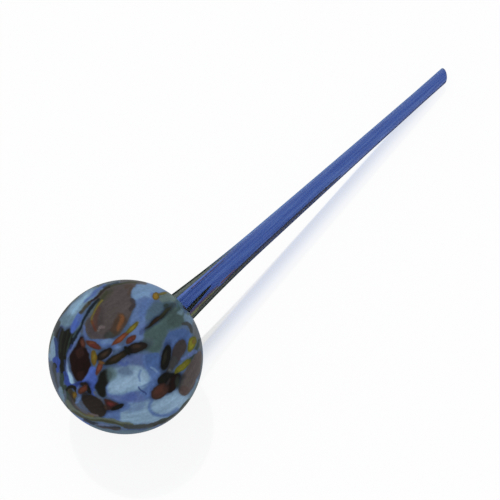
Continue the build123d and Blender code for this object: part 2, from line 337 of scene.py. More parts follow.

# Trails of colour, two of them painted glints of the softbox: colour, width, edge softness, strength, route
trails = [
    ("grey", 1.4, 0.8, 0.8, [(-14, 35), (-8, 37), (0, 37.8), (9, 36.9)]),
    ("warmGrey", 2, 1, 0.7, [(-2, 37), (5, 37), (9, 36.4)]),
    ("moss", 0.9, 0.7, 0.9, [(-12.5, 32), (-9.5, 33.8), (-5, 35.4), (0, 36.4), (5, 36.6)]),
    ("navy", 1, 0.8, 0.6, [(-11, 34.2), (-8, 35.6), (-4, 36.5)]),
    ("royal", 1.4, 1.2, 0.6, [(-10.6, 35.2), (-14, 33.2), (-17, 30), (-20, 27.2)]),
    ("umber", 1.1, 0.8, 0.95, [(-8, 34.6), (-10.6, 33.2), (-13.2, 30.6), (-14.8, 29.2)]),
    ("maroon", 1, 0.8, 0.85, [(-14.2, 29.8), (-16.4, 27.6), (-18.4, 26)]),
    ("oliveBrown", 1.6, 1, 0.85, [(-18, 26.2), (-20.4, 24), (-22.2, 21.8)]),
    ("mistGreen", 1.5, 1.2, 0.7, [(-14.6, 26), (-16.6, 23.4), (-18.4, 20)]),
    ("navy", 1.3, 0.8, 1, [(-13.6, 28.2), (-15.6, 26), (-17.8, 23.4), (-19.8, 20), (-21.6, 16), (-23.4, 12.6),
        (-25, 9.2), (-26.6, 5.6), (-27.8, 1.6)]),
    ("slate", 1.1, 0.9, 0.9, [(-18.2, 20.6), (-20.2, 16.6), (-21.8, 12.8), (-23.4, 9.2), (-24.8, 6.4)]),
    ("mistGreen", 0.8, 0.8, 0.6, [(-22.4, 16.4), (-24, 13), (-25.6, 9.6)]),
    ("moss", 0.7, 0.8, 0.35, [(-30.6, 13.4), (-31.8, 8.6), (-32, 2.6)]),
    ("moss", 0.6, 0.7, 0.3, [(-28.2, 12.4), (-29.8, 7), (-30.4, 0.6)]),
    ("darkGreen", 0.8, 0.8, 0.8, [(-26.4, 10.6), (-28.2, 5.6), (-29, 1)]),
    ("inkBlue", 0.8, 0.8, 0.5, [(-31.8, 14.6), (-33, 10), (-33.2, 5)]),
    ("violet", 1.2, 0.7, 0.9, [(-20.6, 15), (-20.3, 11.6), (-19.4, 9), (-18, 8.2)]),
    ("blue", 1, 0.8, 0.7, [(-22.6, 11.6), (-23.4, 9.2), (-24.4, 7.2), (-26, 5)]),
    ("inkBlue", 1.6, 0.8, 0.9, [(-26.6, 5.4), (-27.8, 2.8), (-28.4, 0.5)]),
    ("violet", 0.9, 0.9, 0.8, [(-24.8, 6.8), (-26.2, 4.4), (-27.2, 2), (-28, 0)]),
    ("cobalt", 2.4, 0.9, 1, [(-29.6, -8), (-29, -11.5), (-27.6, -14.2), (-24.8, -14.4), (-22.8, -13)]),
    ("violet", 0.8, 0.9, 0.8, [(-27.4, 3), (-28.4, 0), (-28.9, -3.5), (-28.6, -7)]),
    ("inkBlue", 1.1, 0.7, 0.7, [(-29.9, -2), (-29.7, -6), (-29.5, -9)]),
    ("moss", 1.4, 1, 0.7, [(-9.6, 32), (-11.4, 29.4), (-13, 26.6), (-15.4, 22.6)]),
    ("yellow", 1, 1, 0.75, [(-11.8, 27.6), (-13.6, 25.2), (-15.6, 22.2), (-16.7, 19), (-16.7, 16.6)]),
    ("redBrown", 1.2, 1, 0.8, [(-16.7, 17.4), (-16, 15.2), (-14.8, 13)]),
    ("redBrown", 2, 1.6, 0.4, [(-13.4, 23.6), (-15, 19.6), (-14.8, 14.6)]),
    # painted glint of the softbox: a faint pink dash
    ("mauve", 1.2, 1, 0.7, [(-13, 14.3), (-10.8, 14.3)]),
    ("brown", 1.2, 1.2, 0.6, [(-5, 18.4), (-6.2, 14.8), (-7, 12.4)]),
    ("plum", 2, 0.9, 0.8, [(2.6, 28), (3.6, 25.6), (2.2, 23.4)]),
    ("brown", 1.6, 1.2, 0.5, [(-0.5, 34.5), (2.5, 34.6), (1.5, 31)]),
    # left rim
    ("rimOlive", 1.1, 0.8, 0.9, [(-14, 35.4), (-20, 32.4), (-26, 27.8), (-31, 22), (-34.6, 15.8), (-37, 9),
        (-38, 2)]),
    ("darkGrey", 1, 0.7, 0.8, [(-27, 26.6), (-31, 21.6), (-34, 16.6), (-36, 12)]),
    ("darkGrey", 1.8, 1, 0.9, [(-33, 17), (-34.2, 13.4), (-34.8, 11)]),
    ("moss", 1, 0.8, 0.6, [(-36, 12), (-37.2, 7.6), (-37.8, 3)]),
    ("paleGreen", 1.2, 0.8, 0.7, [(-35.6, 12), (-36.6, 8.4)]),
    ("inkBlue", 1.6, 0.7, 0.9, [(-34.4, 8.6), (-33.8, 4.6), (-33.5, 0.6)]),
    ("black", 1.2, 0.7, 0.9, [(-35.2, -3.6), (-34.2, -5.2)]),
    ("darkGrey", 2, 0.8, 0.9, [(-35.4, -4.6), (-34.9, -8.4), (-34, -12.6), (-33.4, -15)]),
    ("slate", 1.4, 0.8, 0.9, [(-36.6, -2.6), (-36.2, -7), (-35.2, -11.6), (-33.6, -16.4)]),
    ("slate", 1.6, 0.8, 0.9, [(-33, -8.6), (-32.8, -12), (-32, -16)]),
    ("darkGreen", 1.8, 0.8, 1, [(-31.4, -9), (-31.2, -13), (-30.4, -17)]),
    ("steel", 2, 0.8, 0.9, [(-32, -15.6), (-31.4, -18.6), (-30.4, -21.4)]),
    ("darkGreen", 2.2, 0.8, 1, [(-29.8, -14.8), (-28.6, -18), (-28.2, -22), (-27.6, -24.6)]),
    ("slate", 1.2, 0.7, 0.9, [(-29.8, -16.6), (-29.4, -19.6), (-29.4, -23)]),
    ("grey", 0.9, 0.7, 0.8, [(-37.6, -3), (-36.2, -11), (-33.2, -18.6), (-29.6, -24)]),
    # bottom left
    ("black", 1.5, 0.7, 1, [(-28.6, -16), (-27.4, -14.9), (-25.4, -14.9), (-24.2, -16.4), (-23.9, -18)]),
    ("oliveBrown", 2.6, 0.9, 1, [(-27, -16.8), (-26, -19), (-25.8, -21.6)]),
    ("violet", 1, 0.7, 0.9, [(-23, -14.4), (-23.8, -17), (-23.2, -19)]),
    ("sky", 1.3, 0.7, 0.9, [(-22.2, -18.8), (-23, -20.6), (-24, -22.4)]),
    ("slate", 1.6, 0.8, 0.9, [(-22, -22.2), (-21, -24.4), (-19.4, -26)]),
    ("greyBrown", 1.6, 1, 1, [(-26.6, -20.6), (-24.8, -24), (-21, -26.8), (-17.6, -28.2), (-14, -29)]),
    ("darkGrey", 1.2, 0.9, 0.8, [(-27.6, -19.6), (-26.2, -23.4), (-23, -26.6), (-18.6, -29), (-12, -30.2)]),
    ("slate", 0.9, 0.8, 0.7, [(-23.8, -23), (-22, -25.8), (-19, -27.4)]),
    ("yellow", 0.9, 0.9, 0.6, [(-23, -27), (-19.4, -28.6), (-16, -29.2)]),
    ("rimOlive", 2, 1, 1, [(-28.6, -22), (-25.6, -26), (-21.6, -28.8), (-17, -30.2), (-12, -30.8), (-7, -31.4),
        (-2, -32.8), (3, -33.6)]),
    ("moss", 1.1, 0.9, 0.9, [(-26, -26.6), (-21, -29.6), (-15, -31), (-8, -31.8), (-2, -33.4), (4, -34)]),
    ("mauve", 0.8, 0.9, 0.5, [(-17, -28.2), (-13.6, -29)]),
    ("sky", 1.4, 0.7, 0.9, [(-25.6, -28.4), (-22, -30.8), (-18.6, -33)]),
    ("navy", 1.3, 0.7, 0.9, [(-20, -30.8), (-15, -32.8), (-9, -34.3), (-3, -35)]),
    ("slate", 0.9, 0.6, 0.8, [(-15, -33.2), (-9, -33.6), (-4, -34)]),
    ("plum", 1, 0.6, 0.8, [(-14, -34.2), (-9, -34.9), (-3, -35.4)]),
    ("royal", 1, 0.8, 0.6, [(-22.4, -30.6), (-18.6, -32.6), (-15, -34)]),
    ("lavender", 0.8, 0.7, 0.5, [(-13, -33), (-8, -33.8)]),
    ("rimSteel", 2.2, 0.9, 1, [(-17, -34.2), (-9, -36.6), (0, -37.2), (8, -36.6), (12, -35.6)]),
    ("inkBlue", 1, 0.8, 0.6, [(1, -35.2), (6, -35.6), (10, -35)]),
    ("darkGrey", 1.9, 0.8, 1, [(0, -34), (7, -34.4), (13, -33.4), (19, -31)]),
    ("darkGreen", 1.7, 0.8, 1, [(17, -32.2), (22, -29.6), (27, -25.8), (30.6, -22), (33.4, -17.6),
        (35.6, -13)]),
    ("black", 1, 0.8, 0.6, [(14, -33.6), (20, -31), (26, -27), (30, -23)]),
    ("grey", 1, 0.8, 0.7, [(20, -32), (27, -26.6), (33, -18.8), (36.6, -10), (37.9, 0)]),
    ("steel", 1.2, 0.8, 0.8, [(31, -20), (33.6, -15.8), (35.4, -11.6)]),
    # loop in the pale pool
    ("blue", 1.6, 1.4, 0.75, [(12.8, -21), (11.7, -23.6), (12.4, -26.4), (14.6, -28.4), (18, -29), (22, -28),
        (25.6, -25.8)]),
    ("midBlue", 1, 1, 0.4, [(13, -27.2), (16, -28.7), (20, -28.7), (23.4, -27.2)]),
    # lines in the cloud
    ("blue", 0.9, 0.9, 0.6, [(7.3, -6.6), (6.6, -9.4), (7, -12)]),
    ("inkBlue", 0.8, 0.6, 0.8, [(6.2, -15), (8, -16.8), (9.8, -18.2)]),
    ("blue", 0.8, 0.8, 0.5, [(12, -12), (9.6, -13.8), (7.4, -14.8)]),
    # painted glint of the softbox: a whitish dash
    ("milk", 0.8, 0.8, 0.5, [(12.2, -5.2), (14, -6.4), (15, -7.4)]),
    ("milk", 0.7, 0.7, 0.5, [(7.6, -8), (8.2, -10), (7.8, -12)]),
    ("slate", 1.2, 0.8, 0.9, [(-15.2, -17.4), (-13.4, -19.6), (-11.4, -21.4), (-10, -23.4)]),
    ("cobalt", 1.4, 1.2, 0.4, [(-3, -2.6), (-0.6, -4.4), (0.6, -3)]),
    # right side
    ("darkGrey", 1.5, 0.7, 0.95, [(28, 16.2), (30.6, 16), (31.8, 14.2), (32.2, 12.4)]),
    ("darkGreen", 1.4, 0.8, 0.9, [(36, 8), (35.3, 5.4), (34.2, 3), (33, 0.4), (31, -2.6)]),
    ("violet", 2, 0.7, 0.9, [(34, 2.6), (31.4, 0.8)]),
    ("violet", 1.3, 0.7, 0.9, [(29.6, -0.2), (27.6, -1.2)]),
    ("grey", 1.6, 0.9, 0.7, [(21.4, -6.6), (22.8, -8)]),
    ("rimSteel", 1.4, 1, 0.9, [(24.4, 30.4), (26, 27.4), (27.2, 24.8)]),
    ("umber", 1.2, 0.8, 0.8, [(28.6, 24.8), (30, 23.2), (31.6, 22.4)]),
    ("paleGreen", 1.3, 0.6, 1, [(30.4, 21.2), (32.4, 20.6), (33.8, 19)]),
    ("paleGreen", 1, 0.7, 0.9, [(21, 32.4), (23, 31.2), (24.6, 29)]),
]

# Chips melted in: colour, width, edge softness, strength, one end, other end
chips = [
    ("honey", 3.8, 0.6, 1, (13, 29.6), (16.4, 30.2)),
    ("yellow", 1.4, 0.6, 0.9, (15.6, 30.4), (20.2, 31.8)),
    ("olive", 1.6, 0.6, 1, (10.2, 14.1), (21, 23.2)),
    ("redBrown", 1, 0.6, 0.5, (12.8, 16.2), (17.6, 20)),
    ("moss", 1.4, 0.8, 0.8, (16, 19.2), (22, 24.6)),
    ("darkGreen", 1.6, 0.9, 0.7, (19, 24.6), (20.8, 26)),
    ("salmon", 2.4, 0.5, 1, (-6.8, 5.6), (2.2, 12.6)),
    ("yellow", 2.4, 0.5, 1, (0.4, 11.6), (6, 16.8)),
    ("brick", 3, 0.5, 1, (0.2, 6.6), (4.8, 10.3)),
    ("red", 1.8, 0.7, 0.5, (1, 7.6), (3.4, 9.4)),
    ("umber", 4.6, 0.5, 1, (0.2, 3), (10.6, 6)),
    ("brown", 2.2, 0.8, 0.7, (2.6, 4.6), (7.6, 5.6)),
    ("olive", 3.6, 0.5, 1, (-10.4, -3.9), (1.4, 2.8)),
    ("brown", 1.9, 0.8, 0.6, (-8, -2.2), (-2, 1.6)),
    ("black", 2.2, 0.5, 1, (-0.6, 5), (1.6, 1)),
    ("umber", 3.9, 0.5, 1, (-14.4, -1.4), (-6.9, 3.9)),
    ("brown", 1.9, 0.8, 0.8, (-12.4, 0.2), (-8.6, 3)),
    ("redBrown", 2.6, 0.9, 0.9, (-21.6, 9.2), (-20.6, 4.2)),
    ("brick", 3.2, 0.5, 1, (-19.4, 7.6), (-12.4, 3.9)),
    ("red", 1.8, 0.7, 0.6, (-17.4, 6), (-13.4, 4.4)),
    ("honey", 3.1, 0.5, 1, (-15.9, 2.9), (-15.8, -4.2)),
    ("yellow", 1.6, 0.7, 0.6, (-15.2, 2.4), (-16.4, -3)),
    ("violet", 1.6, 0.6, 0.9, (-18.8, 4), (-17.4, 1.4)),
    ("brick", 2.7, 0.5, 1, (-11.6, -2), (-14.2, -8.8)),
    ("amber", 1.8, 0.6, 0.9, (-13.2, -2.2), (-10.4, -3.4)),
    ("black", 1.9, 0.6, 1, (-18.9, -14), (-17.2, -18.2)),
    ("umber", 1.6, 0.6, 1, (-22.6, -13.2), (-18.6, -13.6)),
    ("redBrown", 3.2, 0.7, 1, (-22.8, -18), (-19, -14)),
    ("umber", 2, 0.9, 0.7, (-21, -19.6), (-18.6, -17.6)),
    ("honey", 2.2, 0.6, 1, (-25.3, -17.2), (-24.9, -20.4)),
    ("brown", 1, 0.6, 0.8, (-26.4, -17.2), (-26, -20.6)),
    ("red", 2.6, 0.9, 0.8, (-9.4, -22.4), (-5.2, -23.6)),
    ("brown", 2, 0.9, 0.7, (-10, -23), (-9.6, -26.4)),
    ("black", 2.5, 0.5, 1, (-7, -25.9), (-1.2, -23.6)),
    ("black", 4.2, 0.5, 1, (20.9, 6), (18.4, -6.6)),
    ("oliveBrown", 1.6, 0.8, 0.5, (20, 3.4), (18.2, -4)),
    ("black", 4.4, 0.6, 1, (15.6, -13), (21.6, -8.4)),
    ("black", 3.4, 0.8, 1, (19, -9.4), (26.8, -10)),
    ("maroon", 5.2, 0.6, 1, (20.6, -17.2), (25.4, -9)),
    ("darkGreen", 2.2, 0.9, 0.7, (25.4, -9.6), (25.4, -15.4)),
    ("rust", 6.4, 0.8, 1, (13, -20.2), (20.8, -13.4)),
    ("redBrown", 3.4, 2, 0.3, (14.2, -18.4), (18.8, -14.6)),
    ("plum", 1.4, 0.8, 0.7, (20.2, -13.8), (22, -10.4)),
    ("lime", 3.2, 0.5, 1, (23.8, -8.2), (32, -1.5)),
    ("yellow", 1.4, 0.8, 0.5, (25.8, -6.4), (30.6, -2.4)),
    ("lime", 3.9, 0.6, 1, (31.1, 2.6), (33.8, 10.2)),
    ("amber", 1.4, 0.8, 0.6, (33.6, 8.6), (33.2, 6)),
]

# Larger chips on the hidden side. Ends are angles from the stem and round it.
farChips = [
    ("yellow", 5, (70, -150), (83, -146)),
    ("amber", 5, (74, 118), (84, 121)),
    ("brick", 8, (62, -110), (77, -104)),
    ("black", 9.6, (108, -112), (123, -104)),
    ("olive", 5.8, (114, 146), (128, 149)),
]

# Dark glass stains what lies round it
bleed = {
    "width": 1.5,  # mm
    "strength": 0.26,
    "takes": (1, 0.95, 0.8),  # how much of red, green and blue it takes away
    "dark": (0.6, 0.85),  # darkness of the glass where this sets in and is full
    "soft": (1.7, 0.8),  # softness of its edge in mm, the same
}
chipRim = {"width": 1.1, "darker": 0.3}  # mm inside a chip's edge

# The hidden side: pools and chips of the same glasses, drawn out towards the neck
far = {
    "seed": 11,
    "cosine": (-0.97, 0.8),  # of the angle from the stem
    "turn": (95, 320),  # degrees round the stem
    "twist": 8,  # degrees that one end may be turned
    "kinds": [
        # how many, length in degrees, width as a share of it, edge softness in radii, glasses
        (34, (16, 34), (0.18, 0.34), 0.06, ["pale", "greyBrown", "midBlue", "greyGreen", "black", "steel",
                                            "cobalt", "umber", "sky", "warmGrey"]),
        (40, (6, 13), (0.14, 0.26), 0.016, ["yellow", "brick", "olive", "amber", "umber", "ice", "black",
                                            "orange", "rust", "lavender"]),
    ],
    "chipSoft": 0.014,  # the same softness for the listed chips
}

ball = {
    "base": "veil",
    "detail": 8,  # subdivisions
    "inset": 0.03,  # mm under the CAD surface, inside its box
    "seed": 5,
    "waverSize": (4.22, 1.117),  # mm from one bend of a colour's edge to the next, slow and fine
    "waver": (0.495, 0.1925),  # mm that the colours wander, slow and fine
    "farWaver": (1.329, 0.38),
    "streak": (3.453, 17.26),  # mm across and along the streaks that blowing drew out from the neck
    "finerStreaks": (2.3, 0.6),  # how many times finer those within them are, and how strong
    "shade": (0.09, 0.06),  # how much the streaks and the fine bends lighten and darken
    "seam": (-0.16, -0.02),  # cosine to the camera where the hidden side's pattern takes over
    "roughness": 0.05,
    "gloss": 0.12,
    "mottle": 1.6,  # mm
    "mottleNoise": (0.3, 0.7),  # where the mottle is darkest and lightest
    "mottleShade": (0.93, 1.07),
    "swell": 14,  # mm from one swell of the skin to the next
    "swellHeight": 0.05,  # mm
    "swellShare": 0.04,
}


def curveThrough(points, closed, steps=5):
    # Catmull-Rom curve through given points
    p = np.array(points, float)
    if closed:
        p = np.vstack([p[-1], p, p[0], p[1]])
    else:
        p = np.vstack([2 * p[0] - p[1], p, 2 * p[-1] - p[-2]])
    t = (np.arange(steps) / steps)[:, None]
    parts = []
    for a, b, c, d in zip(p[:-3], p[1:-2], p[2:-1], p[3:]):
        parts.append(0.5 * (2 * b + (c - a) * t + (2 * a - 5 * b + 4 * c - d) * t**2
                            + (3 * b - a - 3 * c + d) * t**3))
    curve = np.vstack(parts)
    return curve if closed else np.vstack([curve, p[-2]])


def distanceTo(route, spots):
    nearest = np.full(len(spots), np.inf)
    for a, b in zip(route[:-1], route[1:]):
        along = b - a
        share = np.clip((spots - a) @ along / max(along @ along, 1e-9), 0, 1)
        nearest = np.minimum(nearest, np.hypot(*(spots - a - share[:, None] * along).T))
    return nearest


def isInside(route, spots):
    inside = np.zeros(len(spots), bool)
    for a, b in zip(route[:-1], route[1:]):
        crosses = (a[1] > spots[:, 1]) != (b[1] > spots[:, 1])
        where = a[0] + (spots[:, 1] - a[1]) / (b[1] - a[1] + 1e-12) * (b[0] - a[0])
        inside ^= crosses & (spots[:, 0] < where)
    return inside


def layOn(colours, picked, cover, name, shade):
    # One colour over what lies beneath, with its own light and dark
    under = colours[picked]
    colours[picked] = under + (sharesOf(glass[name]) * shade[picked, None] - under) * cover[:, None]


def stain(colours, picked, depth, name, soft):
    dark = rise(1 - sharesOf(glass[name]).mean(), *bleed["dark"]) * rise(soft, *bleed["soft"])
    cover = rise(depth, -bleed["width"], 0) * bleed["strength"] * dark
    colours[picked] *= 1 - cover[:, None] * np.array(bleed["takes"])


def near(spots, route, reach):
    low = route.min(axis=0) - reach
    high = route.max(axis=0) + reach
    return np.nonzero(((spots > low) & (spots < high)).all(axis=1))[0]


def paintFront(colours, spots, shade):
    for name, soft, strength, outline in fields:
        route = curveThrough(outline, True)
        route = np.vstack([route, route[0]])
        picked = near(spots, route, soft + bleed["width"])
        away = distanceTo(route, spots[picked])
        depth = np.where(isInside(route, spots[picked]), away, -away)
        stain(colours, picked, depth, name, soft)
        layOn(colours, picked, smooth(0.5 + depth / soft) * strength, name, shade)
    for name, width, soft, strength, points in trails:
        route = curveThrough(points, False)
        picked = near(spots, route, width + soft)
        depth = width / 2 - distanceTo(route, spots[picked])
        layOn(colours, picked, smooth(0.5 + depth / soft) * strength, name, shade)
    for name, width, soft, strength, first, last in chips:
        ends = np.array([first, last], float)
        half = np.hypot(*(ends[1] - ends[0])) / 2
        along = (ends[1] - ends[0]) / (2 * half)
        picked = near(spots, ends, width + soft + bleed["width"])
        off = spots[picked] - ends.mean(axis=0)
        reached = np.hypot(off @ along / half, off @ np.array([-along[1], along[0]]) / (width / 2))
        depth = (1 - reached) * width / 2
        cover = smooth(0.5 + depth / soft)
        stain(colours, picked, depth, name, soft)
        layOn(colours, picked, cover * strength, name, shade)
        rim = cover * rise(depth, chipRim["width"], 0) * strength
        colours[picked] *= 1 - chipRim["darker"] * rim[:, None]


def onBall(polar, turn):
    a = math.radians(polar)
    b = math.radians(turn)
    return np.array(stemAlong * math.cos(a) + (stemTop * math.cos(b) + stemSide * math.sin(b)) * math.sin(a))


def paintChip(colours, directions, name, width, first, last, soft, shade):
    middle = (first + last) / np.linalg.norm(first + last)
    across = np.cross(middle, last - first)
    across /= np.linalg.norm(across)
    along = np.cross(across, middle)
    half = np.linalg.norm(last - first) / 2
    picked = np.nonzero(directions @ middle > math.cos(2.2 * half + 0.1))[0]  # a little past both ends
    reached = np.hypot(directions[picked] @ along / half, directions[picked] @ across / width)
    layOn(colours, picked, smooth(0.5 + (1 - reached) * width / soft), name, shade)


def paintFar(colours, directions, shade):
    chance = random.Random(far["seed"])
    number = 0
    for count, lengths, widths, soft, names in far["kinds"]:
        for _ in range(count):
            polar = math.degrees(math.acos(chance.uniform(*far["cosine"])))
            turn = chance.uniform(*far["turn"])
            length = chance.uniform(*lengths)
            first = onBall(polar - length / 2, turn - chance.uniform(-far["twist"], far["twist"]))
            last = onBall(polar + length / 2, turn)
            width = math.radians(length) * chance.uniform(*widths)
            paintChip(colours, directions, names[number % len(names)], width, first, last, soft, shade)
            number += 1
    for name, width, first, last in farChips:
        half = math.sin(math.radians(width / 2))
        paintChip(colours, directions, name, half, onBall(*first), onBall(*last), far["chipSoft"], shade)


def seenFromCamera(places, directions):
    # Where the camera sees each point, in mm on the plane through the ball's middle,
    # and the cosine of the angle between the skin and the camera
    toPoint = places - np.array(eye)
    toMiddle = np.array(ballMiddle - eye)
    reach = toMiddle @ toMiddle / (toPoint @ toMiddle)
    onPlane = (toPoint * reach[:, None] - toMiddle) / mm
    facing = -(directions * toPoint).sum(axis=1) / np.linalg.norm(toPoint, axis=1)
    # the picture's right and up, square to the line to the ball
    sight = toMiddle / np.linalg.norm(toMiddle)
    right = np.array(pictureRight) - sight * (np.array(pictureRight) @ sight)
    right /= np.linalg.norm(right)
    return np.stack([onPlane @ right, onPlane @ np.cross(right, sight)], axis=1), facing


def makeBall():
    mesh = bpy.data.meshes.new("ball_skin")
    form = bmesh.new()
    bmesh.ops.create_icosphere(form, subdivisions=ball["detail"], radius=ballRadius - ball["inset"] * mm)
    bmesh.ops.translate(form, verts=form.verts, vec=ballMiddle)
    form.to_mesh(mesh)
    form.free()

    count = len(mesh.vertices)
    places = np.empty(count * 3)
    mesh.vertices.foreach_get("co", places)
    places = places.reshape(-1, 3)
    directions = places - np.array(ballMiddle)
    directions /= np.linalg.norm(directions, axis=1)[:, None]

    # Wandering of the colours, and light and dark within each
    noise.seed_set(ball["seed"])  # or else the vectors differ from run to run
    slowScale, fineScale = (ballMm / size for size in ball["waverSize"])
    fineShift = Vector((7, 0, 0))  # so that the fine bends don't follow the slow ones
    slow = np.array([noise.noise_vector(Vector(d) * slowScale) for d in directions])
    fine = np.array([noise.noise_vector(Vector(d) * fineScale + fineShift) for d in directions])
    along = (directions @ np.array(stemAlong))[:, None] * np.array(stemAlong)
    outward = directions - along
    outward /= np.linalg.norm(outward, axis=1)[:, None] + 1e-6
    across, lengthwise = (ballMm / size for size in ball["streak"])
    times, strength = ball["finerStreaks"]
    drawn = np.array([noise.noise(Vector(d)) + strength * noise.noise(Vector(d) * times)
                      for d in outward * across + along * lengthwise])
    shade = 1 + ball["shade"][0] * drawn + ball["shade"][1] * fine[:, 2]

    spots, facing = seenFromCamera(places, directions)
    spots += slow[:, :2] * ball["waver"][0] + fine[:, :2] * ball["waver"][1]
    front = np.tile(sharesOf(glass[ball["base"]]), (count, 1))
    hidden = front.copy()
    seen = facing > ball["seam"][0]
    part = front[seen]
    paintFront(part, spots[seen], shade[seen])
    front[seen] = part
    bent = directions + (slow * ball["farWaver"][0] + fine * ball["farWaver"][1]) / ballMm
    bent /= np.linalg.norm(bent, axis=1)[:, None]
    paintFar(hidden, bent, shade)
    colour = hidden + (front - hidden) * rise(facing, *ball["seam"])[:, None]
    # the glass's colours, with the painted reflections and glints of the softbox laid in
    layer = mesh.color_attributes.new("glassColourAndReflections", "FLOAT_COLOR", "POINT")
    layer.data.foreach_set("color", np.hstack([toLinear(colour), np.ones((count, 1))]).ravel())
    return showMesh("ball_skin", mesh)


def swellingSkin(tree, place, skin):
    swell = addNode(tree, "TexNoise", {"Scale": 1 / (skin["swell"] * mm), "Detail": 1}, {"Vector": place})
    return addNode(tree, "Bump", {"Strength": skin["swellShare"], "Distance": skin["swellHeight"] * mm},
                   {"Height": swell})


def ballGlass():
    # Blown soda-lime glass over opal, fire polished: deep still colours under one smooth skin, with painted
    # reflections and glints of the softbox among them
    material, tree = newMaterial("blown_glass_mottled")
    paint = addNode(tree, "Attribute", {"attribute_name": "glassColourAndReflections"})
    place = addNode(tree, "TexCoord").outputs["Object"]
    specks = addNode(tree, "TexNoise", {"Scale": 1 / (ball["mottle"] * mm), "Detail": 3}, {"Vector": place})
    limits = zip(("From Min", "From Max", "To Min", "To Max"), ball["mottleNoise"] + ball["mottleShade"])
    depth = addNode(tree, "MapRange", dict(limits), {"Value": specks})
    tinted = addNode(tree, "VectorMath", {"operation": "SCALE"}, {"Vector": paint, "Scale": depth})
    bump = swellingSkin(tree, place, ball)
    surface = addNode(tree, "BsdfPrincipled",
                      {"Roughness": ball["roughness"], "IOR": refraction, "Specular IOR Level": 0,
                       "Coat Weight": ball["gloss"], "Coat Roughness": ball["roughness"], "Coat IOR": refraction},
                      {"Base Color": tinted, "Coat Normal": bump})
    addNode(tree, "OutputMaterial", {}, {"Surface": surface})
    return material


finishPiece(makeBall(), ballGlass(),
            ["glass_body", "frit_yellow", "frit_amber", "frit_brown", "frit_dark", "frit_olive"])
print("ball painted")


# Sizes as in the CAD source, in mm from the ball's middle
stem = {
    "straightFrom": 237,
    "mouth": 260,  # the photograph's mouth is cut a little shorter and steeper than the CAD's
    "neck": 63,
    "outside": (8.6, 5.6, 3.85),  # at the ball, the throat and the tip
    "core": (2.9, 3.8, 3),
    "taperSag": 0.1,
    "coreSag": 0.15,
    "bore": 2.25,
    "rimRound": 0.5,
    "boreRound": 0.2,
    "rimSteps": 6,
    "boreSteps": 4,
    "slant": 32,
    "slantTurn": -64,
    "slantFull": 4,  # mm before the mouth, from where each ring has the whole slant
    "sides": 96,
    "stepLength": 1.5,
    # so that faces of casing and core never coincide, in mm
    "casingStart": 0.05,
    "coreStart": 0.7,
    "boreStart": 0.9,
    "boreClear": 0.03,
    "coreBack": 0.15,
    "boreBack": 0.6,
}
neckStart = math.sqrt(ballMm**2 - stem["outside"][0] ** 2)
throat = neckStart + stem["neck"]
straight = stem["straightFrom"]


def taperRadius(x, atThroat, atTip):
    share = np.clip((x - throat) / (straight - throat), 0, 1)
    return atThroat + (atTip - atThroat) * share - 4 * stem["taperSag"] * share * (1 - share)


def outsideRadius(x):
    atNeck, atThroat, atTip = stem["outside"]
    back = np.clip(throat - x, 0, None)
    lean = (atThroat - atTip + 4 * stem["taperSag"]) / (straight - throat)
    bend = (atNeck - atThroat - lean * stem["neck"]) / stem["neck"] ** 2
    return taperRadius(x, atThroat, atTip) + lean * back + bend * back**2


def coreRadius(x):
    atNeck, atThroat, atTip = stem["core"]
    share = np.clip((throat - x) / stem["neck"], 0, 1)
    neckPart = (atNeck - atThroat) * share - 4 * stem["coreSag"] * share * (1 - share)
    return taperRadius(x, atThroat, atTip) + neckPart


def stemPoint(x, radius, turn, slanted):
    # slanted: how much of the mouth's slant this ring has, from 0 to 1
    angle = math.radians(turn)
    lean = math.tan(math.radians(stem["slant"])) * radius * math.cos(angle - math.radians(stem["slantTurn"]))
    out = stemTop * math.cos(angle) + stemSide * math.sin(angle)
    return ballMiddle + (stemAlong * (x + lean * slanted) + out * radius) * mm


def slantShare(x):
    return min(max((x - straight) / (stem["mouth"] - stem["slantFull"] - straight), 0), 1) ** 2


def ringsToPiece(name, rings):
    # a tube whose last ring joins the first
    sides = stem["sides"]
    points = [stemPoint(x, radius, 360 * i / sides, slanted) for x, radius, slanted in rings for i in range(sides)]
    faces = []
    for low in range(len(rings)):
        high = (low + 1) % len(rings)
        for i in range(sides):
            j = (i + 1) % sides
            faces.append((low * sides + i, low * sides + j, high * sides + j, high * sides + i))
    return newPiece(name, points, faces)


def alongStem(first, last, radiusAt):
    places = np.linspace(first, last, int((last - first) / stem["stepLength"]) + 1)
    return [(x, radiusAt(x), slantShare(x)) for x in places]


def quarterTurn(steps):
    return [math.pi / 2 * step / steps for step in range(1, steps + 1)]


def makeCasing():
    end = stem["mouth"]
    rim = stem["rimRound"]
    inner = stem["boreRound"]
    tip = stem["outside"][2]
    hole = stem["bore"] - stem["boreClear"]
    rings = alongStem(neckStart + stem["casingStart"], end - rim, outsideRadius)
    for angle in quarterTurn(stem["rimSteps"]):
        rings.append((end - rim + rim * math.sin(angle), tip - rim + rim * math.cos(angle), 1))
    for angle in quarterTurn(stem["boreSteps"]):
        rings.append((end - inner + inner * math.cos(angle), hole + inner - inner * math.sin(angle), 1))
    rings += alongStem(neckStart + stem["boreStart"], end - stem["boreBack"], lambda x: hole)[::-1]
    return ringsToPiece("stem_casing", rings)


def makeCore():
    start = neckStart + stem["coreStart"]
    end = stem["mouth"] - stem["coreBack"]
    rings = alongStem(start, end, coreRadius)
    rings += alongStem(start, end, lambda x: stem["bore"])[::-1]
    return ringsToPiece("stem_core_glass", rings)


